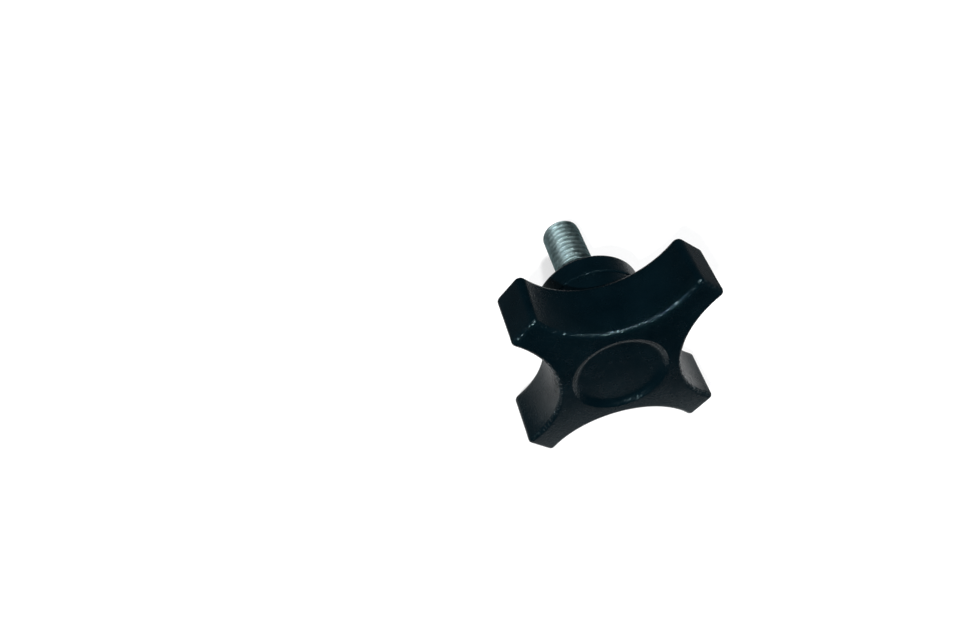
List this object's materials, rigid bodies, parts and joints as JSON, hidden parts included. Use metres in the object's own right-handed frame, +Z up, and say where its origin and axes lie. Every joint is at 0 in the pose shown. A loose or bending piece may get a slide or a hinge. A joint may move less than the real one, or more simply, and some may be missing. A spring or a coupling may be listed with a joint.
{
  "type": "threaded knob",
  "caption": "Four-lobed moulded hand knob with a dished recess in its crowned face, a short banded hub and a threaded steel stud, lying as it comes to rest.",
  "frame": {"origin": "middle of the bounding box on the floor the knob lies on", "axes": "+Z up from the floor; +X the way the crowned face looks as it lies, tilted up; the stud points towards -X and down; the knob is mirrored across y = 0"},
  "size_m": [0.0556, 0.0442, 0.045],
  "materials": {
    "grip": "satin black moulding with a fine spark-eroded texture",
    "stud": "bright zinc plate, slightly grey-green"
  },
  "bodies": {
    "root": {"grip": "grip", "threaded_stud": "stud"}
  },
  "joints": []
}
